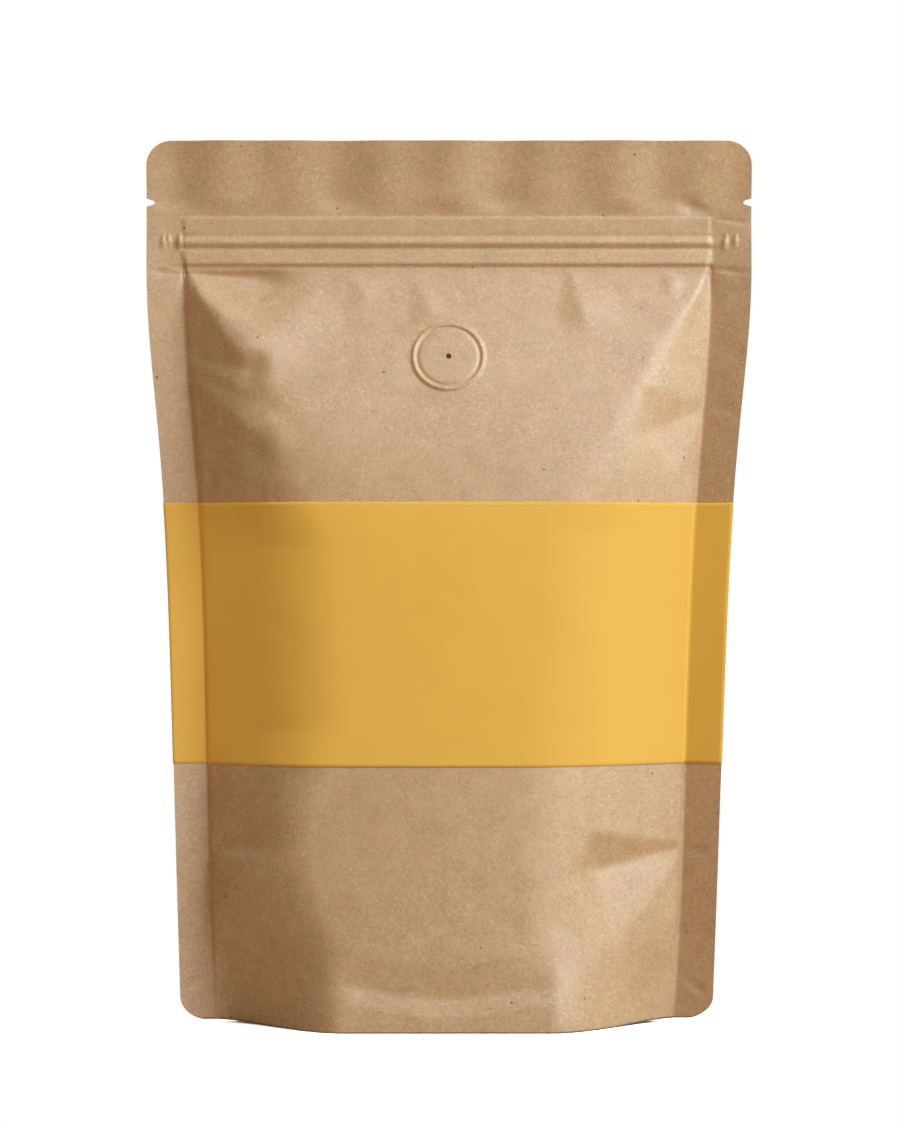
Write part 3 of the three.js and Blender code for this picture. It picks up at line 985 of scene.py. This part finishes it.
def paper_columns(paper: Paper) -> np.ndarray:
    """Lays out the grid's columns, which are closest where the paper drops to a seal.

    Args:
        paper: the paper of the pouch.

    Returns:
        Their places across the flat paper.
    """
    half = paper.width / 2.0
    left, right = half - paper.left_seal.width, half - paper.right_seal.width
    drop = paper.filling.foot_width * left
    slope, middle = 62.0, 46.0  # from here inwards the columns lie further apart
    return grid_lines(
        (-half, -left, 0.85),
        (-left, drop - left, 0.4),
        (drop - left, -slope, 0.7),
        (-slope, -middle, 0.9),
        (-middle, middle, 1.15),
        (middle, slope, 0.9),
        (slope, right - drop, 0.7),
        (right - drop, right, 0.4),
        (right, half, 0.85),
    )


@dataclass
class PouchShell:
    """The pouch itself, which is one web of paper, welded along its sides and its top edge."""

    paper: Paper
    finish: KraftPaper = KraftPaper()
    edge_of_front: float = 1.0  # web coordinate where the front ends and the gusset begins
    gusset_rows: int = 30
    corner_rows: float = 9.0  # height up to which the rows are close, for the bottom corners
    band_rows: Pair = (66.0, 140.0)  # heights between which the band hides the paper
    zip_rows: Pair = (197.0, 214.0)
    notch_row: float = 0.03  # step over which a notch's straight edge is cut
    rim_margin: Pair = (0.9, 0.8)  # the grid is fine this far inside and outside the valve's rim
    hole_rings: Pair = (2.2, 1.3)  # radii within which it is finer still, at the pinhole
    zip_ends: Pair = (0.5, 11.5)  # it is fine between these distances from a side of the pouch
    zip_crush: Pair = (198.0, 214.0)  # and between these heights

    def heights(self) -> np.ndarray:
        """Lays out the grid's rows, which are closest at the zip.

        Returns:
            Their heights on the flat front or back.
        """
        paper = self.paper
        middle, half = paper.notch_height, paper.notch_opening / 2.0
        low, high = middle - half, middle + half
        corner, (band_low, band_high), (zip_low, zip_high) = self.corner_rows, self.band_rows, self.zip_rows
        return grid_lines(
            (0.0, corner, 0.6),
            (corner, band_low, 0.95),
            (band_low, band_high, 2.5),
            (band_high, zip_low, 0.95),
            (zip_low, zip_high, 0.38),
            (zip_high, low - self.notch_row, 0.8),
            (low - self.notch_row, low, 1.0),
            (low, middle, 0.6),
            (middle, high, 0.6),
            (high, high + self.notch_row, 1.0),
            (high + self.notch_row, paper.height, 1.3),
        )

    def build(self) -> bpy.types.Object:
        """Models the web and closes it along its cut edges.

        Returns:
            The piece.
        """
        edge = self.edge_of_front
        heights = self.heights()
        gusset = np.linspace(-edge, edge, self.gusset_rows + 1)[1:-1]
        columns = paper_columns(self.paper)
        mesh = lay_grid(columns, np.concatenate((-edge - heights[::-1], gusset, edge + heights)))
        self.refine(mesh)
        chains = self.cut_edges(mesh, edge + heights[1])
        shape_grid(mesh, self.place)
        for front, back in chains:
            bmesh.ops.bridge_loops(mesh, edges=front + back)
        bmesh.ops.holes_fill(mesh, edges=[cut for cut in mesh.edges if cut.is_boundary], sides=0)
        for front, back in chains:
            for cut in front + back:
                cut.smooth = False
        return finish_piece("kraft_pouch", mesh, self.finish.build())

    def cut_edges(self, mesh: Mesh, lowest: float) -> list[tuple[Edges, Edges]]:
        """Finds the cut edges that are welded together.

        Args:
            mesh: the flat web.
            lowest: web coordinate of the first row of the side seals above the bottom edge.

        Returns:
            The front's and the back's edges, for the left side, the right side and the top.
        """
        half, top = self.paper.width / 2.0, self.edge_of_front + self.paper.height
        tests = (
            lambda co, sign: co.x < NEAR - half and sign * co.y > lowest - NEAR,
            lambda co, sign: co.x > half - NEAR and sign * co.y > lowest - NEAR,
            lambda co, sign: sign * co.y > top - NEAR,
        )
        return [
            (edges_where(mesh, lambda co: test(co, 1.0)), edges_where(mesh, lambda co: test(co, -1.0)))
            for test in tests
        ]

    def refine(self, mesh: Mesh) -> None:
        """Makes the grid finer at the valve's rim and its pinhole, and at the crushed ends of the zip.

        Args:
            mesh: the flat web.
        """
        profile = self.paper.valve.profile
        rim = profile[1][0] - self.rim_margin[0], profile[-1][0] + self.rim_margin[1]
        for inner, outer in (rim, *((0.0, radius) for radius in self.hole_rings)):
            chosen = edges_where(mesh, lambda co: inner <= self.from_valve(co) <= outer)
            bmesh.ops.subdivide_edges(mesh, edges=chosen, cuts=2, use_grid_fill=True)
        chosen = edges_where(mesh, self.is_at_zip_end)
        bmesh.ops.subdivide_edges(mesh, edges=chosen, cuts=1, use_grid_fill=True)

    def is_at_zip_end(self, co: Vector) -> bool:
        """Whether a place on the flat web is where the zip is crushed in a seal of the front.

        Args:
            co: the place, across in X and along in Y.

        Returns:
            True where it is.
        """
        from_side = self.paper.width / 2.0 - abs(co.x)
        height = co.y - self.edge_of_front
        (near_side, far_side), (low, high) = self.zip_ends, self.zip_crush
        return near_side < from_side < far_side and low < height < high

    def from_valve(self, co: Vector) -> float:
        """Distance of a place on the flat web from the valve's centre."""
        return math.hypot(co.x, co.y - self.edge_of_front - self.paper.valve.height)

    def place(self, across: Places, along: Places) -> np.ndarray:
        """Where places of the flat web lie on the standing pouch.

        Args:
            across: places across the web.
            along: web coordinates, from the back's top edge to the front's.

        Returns:
            One row of X, Y and Z for each place.
        """
        edge = self.edge_of_front
        front, back = along >= edge, along <= -edge
        folded = ~(front | back)
        points = np.empty((len(across), 3))
        points[front] = self.paper.place(Side.FRONT, across[front], along[front] - edge)
        points[back] = self.paper.place(Side.BACK, across[back], -along[back] - edge)
        points[folded] = self.paper.place_gusset(across[folded], along[folded] / edge)
        return points


@dataclass
class LabelBand:
    """The yellow paper band, glued round the pouch and its side seals."""

    paper: Paper
    finish: YellowPaper = YellowPaper()
    bottom: float = 68.65
    top: float = 137.5
    glue: float = 0.03  # gap between the papers
    thickness: float = 0.12
    row: float = 0.9  # height of the grid's rows

    def apart(self) -> float:
        """How far on the back's middle follows the front's on the flat ring."""
        return 2.0 * self.paper.width

    def build(self) -> bpy.types.Object:
        """Models the band as one ring of paper with a thickness.

        Returns:
            The piece.
        """
        half = self.paper.width / 2.0
        columns = paper_columns(self.paper)
        both = np.concatenate((columns, self.apart() - columns[::-1]))
        mesh = lay_grid(both, grid_lines((self.bottom, self.top, self.row)))
        ends = edges_where(mesh, lambda co: co.x < NEAR - half)
        ends += edges_where(mesh, lambda co: co.x > self.apart() + half - NEAR)
        shape_grid(mesh, self.place)
        bmesh.ops.bridge_loops(mesh, edges=ends)
        bmesh.ops.recalc_face_normals(mesh, faces=mesh.faces)
        mesh.normal_update()
        for vertex in mesh.verts:
            vertex.co += self.outward(vertex) * self.glue
        bmesh.ops.solidify(mesh, geom=mesh.faces, thickness=-self.thickness)
        return finish_piece("label_paper", mesh, self.finish.build())

    def place(self, across: Places, along: Places) -> np.ndarray:
        """Where places of the flat ring lie on the standing pouch.

        Args:
            across: places round the ring: the front, and then the back.
            along: places up it.

        Returns:
            One row of X, Y and Z for each place.
        """
        front = across <= self.paper.width / 2.0 + NEAR
        points = np.empty((len(across), 3))
        points[front] = self.paper.place(Side.FRONT, across[front], along[front])
        points[~front] = self.paper.place(Side.BACK, self.apart() - across[~front], along[~front])
        return points

    def outward(self, vertex: bmesh.types.BMVert) -> Vector:
        """Direction away from the pouch.

        Args:
            vertex: a vertex of the ring.

        Returns:
            The normal there, turned outward.
        """
        normal = vertex.normal.copy()
        away = Vector((0.0, vertex.co.y, 0.0)) if abs(vertex.co.y) > self.paper.layers else normal
        return normal if normal.dot(away) >= 0 else -normal


# ---- The studio ----


@dataclass(frozen=True)
class Softbox:
    """A square soft light that faces the middle of the pouch."""

    name: str
    azimuth: float  # degrees to the right of the camera's direction
    elevation: float  # degrees above the horizontal
    distance: float  # metres from the middle of the pouch
    size: float  # metres
    power: float  # watts
    colour: str
    aim: tuple[float, float, float] = (0.0, 0.0, 0.115)  # the middle of the pouch, in metres

    def build(self) -> None:
        """Adds the light to the scene."""
        light = bpy.data.lights.new(self.name, "AREA")
        light.shape = "RECTANGLE"
        light.size = light.size_y = self.size
        light.energy = self.power
        light.color = to_linear(self.colour)[:3]
        lamp = bpy.data.objects.new(self.name, light)
        turn, tilt = math.radians(self.azimuth), math.radians(self.elevation)
        towards = Vector(
            (math.sin(turn) * math.cos(tilt), -math.cos(turn) * math.cos(tilt), math.sin(tilt))
        )
        lamp.location = Vector(self.aim) + towards * self.distance
        lamp.rotation_euler = towards.to_track_quat("Z", "Y").to_euler()
        bpy.context.scene.collection.objects.link(lamp)


@dataclass(frozen=True)
class Studio:
    """A plain pale floor, soft lights and the camera in front of the pouch."""

    camera_place: tuple[float, float, float] = (0.00024, -1.150, 0.1217)
    lens: float = 138.9
    sensor: float = 36.0
    room_light: Colour = (0.385, 0.28, 0.195, 1.0)
    room_mirrored: Colour = (0.1, 0.08, 0.06, 1.0)
    room_seen: Colour = (1.0, 1.0, 1.0, 1.0)
    floor_bounce: Colour = (0.52, 0.39, 0.26, 1.0)
    floor_seen: Colour = (2.3, 2.3, 2.3, 1.0)
    floor_radius: float = 6000.0  # millimetres
    floor_fade: Pair = (0.045, 0.092)  # metres from the origin between which it fades
    softboxes: tuple[Softbox, ...] = (
        Softbox("key_softbox", 50.0, 32.0, 1.4, 0.8, 22.0, "#e9fbff"),
        Softbox("side_softbox", 88.0, 15.0, 1.4, 0.9, 3.0, "#dcf4ff"),
        Softbox("top_softbox", 0.0, 80.0, 1.2, 1.2, 4.0, "#edfdff"),
        Softbox("back_softbox", 205.0, 30.0, 1.5, 1.0, 12.0, "#edfdff"),
    )

    def build(self) -> None:
        """Sets up the floor, the lights and the camera."""
        self.add_floor()
        self.add_world()
        for softbox in self.softboxes:
            softbox.build()
        self.add_camera()
        bpy.context.scene.view_settings.view_transform = "Standard"

    def floor_material(self) -> Material:
        """Makes matte white paper, which fades into the white of the room away from the pouch.

        Returns:
            The floor's material.
        """
        material = bpy.data.materials.new("pale_studio_floor")
        tree = empty_tree(material)
        place = add_node(tree, "ShaderNodeTexCoord").outputs["Object"]
        seen = add_node(tree, "ShaderNodeLightPath").outputs["Is Camera Ray"]
        colour = add_node(
            tree, "ShaderNodeMix", settings={"data_type": "RGBA", "clamp_factor": True},
            inputs={0: seen, 6: self.floor_bounce, 7: self.floor_seen},
        )
        paper = add_node(tree, "ShaderNodeBsdfDiffuse", inputs={"Color": colour.outputs[2]})
        far = add_node(tree, "ShaderNodeVectorMath", settings={"operation": "LENGTH"}, inputs={0: place})
        near_end, far_end = self.floor_fade
        fade = add_node(
            tree, "ShaderNodeMapRange", settings={"interpolation_type": "SMOOTHSTEP"},
            inputs={"Value": far.outputs["Value"], "From Min": near_end, "From Max": far_end},
        )
        share = add_node(
            tree, "ShaderNodeMath", settings={"operation": "MULTIPLY"}, inputs={0: fade.outputs[0], 1: seen}
        )
        white = add_node(tree, "ShaderNodeEmission", inputs={"Strength": 1.0})
        mixed = add_node(
            tree, "ShaderNodeMixShader",
            inputs={0: share.outputs[0], 1: paper.outputs[0], 2: white.outputs[0]},
        )
        add_node(tree, "ShaderNodeOutputMaterial", inputs={"Surface": mixed.outputs[0]})
        return material

    def add_floor(self) -> None:
        """Lays a large pale floor."""
        mesh = bmesh.new()
        bmesh.ops.create_circle(mesh, cap_ends=True, segments=96, radius=self.floor_radius)
        floor = add_object("studio_floor", mesh, self.floor_material())

    def add_world(self) -> None:
        """Lights the room evenly, and shows it as white."""
        world = bpy.data.worlds.new("studio_room")
        tree = empty_tree(world)
        path = add_node(tree, "ShaderNodeLightPath")
        lit = add_node(
            tree, "ShaderNodeMix", settings={"data_type": "RGBA"},
            inputs={0: path.outputs["Is Glossy Ray"], 6: self.room_light, 7: self.room_mirrored},
        )
        colour = add_node(
            tree, "ShaderNodeMix", settings={"data_type": "RGBA"},
            inputs={0: path.outputs["Is Camera Ray"], 6: lit.outputs[2], 7: self.room_seen},
        )
        background = add_node(tree, "ShaderNodeBackground", inputs={"Color": colour.outputs[2]})
        add_node(tree, "ShaderNodeOutputWorld", inputs={"Surface": background.outputs[0]})
        bpy.context.scene.world = world

    def add_camera(self) -> None:
        """Sets the camera level in front of the pouch."""
        data = bpy.data.cameras.new("camera")
        data.sensor_fit = "VERTICAL"
        data.sensor_height = self.sensor
        data.lens = self.lens
        camera = bpy.data.objects.new("camera", data)
        camera.location = self.camera_place
        camera.rotation_euler = (math.pi / 2.0, 0.0, 0.0)
        bpy.context.scene.collection.objects.link(camera)
        bpy.context.scene.camera = camera


# ---- The folds of this pouch ----

LEFT_FOLDS = (
    Fold((-71.4, 198.6), (-44.0, 163.0), 4.0, (27.0, 18.0), peak=0.6),
    Fold((-71.4, 198.6), (-36.0, 194.5), -2.2, (4.0, 14.0), peak=0.6),
    Fold((-69.2, 176.6), (-46.0, 171.4), -1.8, (5.0, 6.0), peak=0.75),
    Fold((-68.6, 171.9), (-42.0, 147.0), 2.0, (8.0, 12.0), peak=0.65),
    Fold((-67.4, 151.0), (-43.0, 152.0), -1.8, (6.0, 8.0), peak=0.65),
    Fold((-67.5, 140.9), (-60.0, 143.5), -0.7, (2.5, 3.0)),
)
RIGHT_FOLDS = (
    Fold((70.8, 199.0), (55.0, 164.0), -0.8, (9.0, 6.5), peak=0.6),
    Fold((69.4, 163.4), (46.0, 153.0), -1.9, (12.0, 12.0), peak=0.6, closes=(False, True)),
)
GUSSET_FOLDS = (
    Fold((-64.0, 45.8), (-40.0, 53.0), -2.0, (8.0, 5.5), peak=0.4),
    Fold((-64.0, 45.2), (-40.0, 38.5), 2.4, (5.5, 10.0), peak=0.4),
    Fold((63.4, 46.9), (32.0, 40.0), -4.6, (21.0, 10.0), peak=0.75, closes=(False, True)),
)
PUCKERS = (
    Fold((-9.8, 199.1), (-1.0, 180.0), 0.9, (5.0, 7.0)),
    Fold((-26.2, 199.1), (-20.0, 189.0), 0.5, (4.0, 5.0)),
    Fold((32.0, 199.1), (38.0, 180.0), 1.2, (9.0, 6.0), peak=0.5),
    Fold((57.1, 199.1), (60.5, 192.0), 0.6, (4.0, 3.0), peak=0.5),
)
SEAL_FOLDS = (
    Fold((-75.6, 209.2), (-75.6, 203.8), 0.5, (0.7, 0.7), peak=0.5),
    Fold((-74.2, 209.4), (-74.2, 204.6), 0.4, (0.6, 0.6), peak=0.5),
    Fold((-71.3, 209.6), (-71.3, 203.4), 0.8, (0.9, 0.7), peak=0.5),
    Fold((73.6, 209.6), (72.6, 203.4), 0.6, (0.8, 0.8), peak=0.5),
    Fold((76.2, 209.2), (75.4, 204.6), 0.5, (0.7, 0.7), peak=0.5),
    Fold((69.9, 214.3), (59.0, 217.4), -0.8, (2.5, 2.5), peak=0.5),
    Fold((69.5, 212.6), (80.5, 211.6), -0.3, (0.8, 0.8), peak=0.5),
    Fold((69.8, 199.2), (80.5, 198.4), -0.4, (1.0, 1.0), peak=0.4),
    Fold((69.0, 162.9), (78.5, 161.8), -0.4, (1.2, 1.2), peak=0.4),
    Fold((62.4, 46.4), (71.5, 44.0), -0.5, (1.5, 1.5), peak=0.4),
    Fold((-71.2, 198.3), (-80.0, 198.6), -0.3, (1.0, 1.0), peak=0.4),
    Fold((62.0, 12.4), (69.4, 7.0), -0.6, (1.6, 1.6), peak=0.5),
    Fold((-71.5, 9.0), (-62.0, 12.5), -0.3, (1.4, 1.4), peak=0.5),
)
SWELLS = (Swell((-41.0, 155.0), (35.0, 29.0), 2.6),)


def main() -> None:
    """Builds the pouch, its band and the studio, in that order."""
    logging.basicConfig(level=logging.INFO, format="%(name)s: %(message)s")
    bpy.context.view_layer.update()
    folds = (*LEFT_FOLDS, *RIGHT_FOLDS, *GUSSET_FOLDS, *PUCKERS)
    paper = Paper(folds=folds, seal_folds=SEAL_FOLDS, swells=SWELLS)
    pieces = {"pouch": PouchShell(paper).build(), "label_band": LabelBand(paper).build()}
    for node, piece in pieces.items():
        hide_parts(node)
        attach(piece, "root")
        log.info("%s: %d faces", piece.name, len(piece.data.polygons))
    Studio().build()
    log.info("studio: floor, lights and camera")


if __name__ == "__main__":
    main()
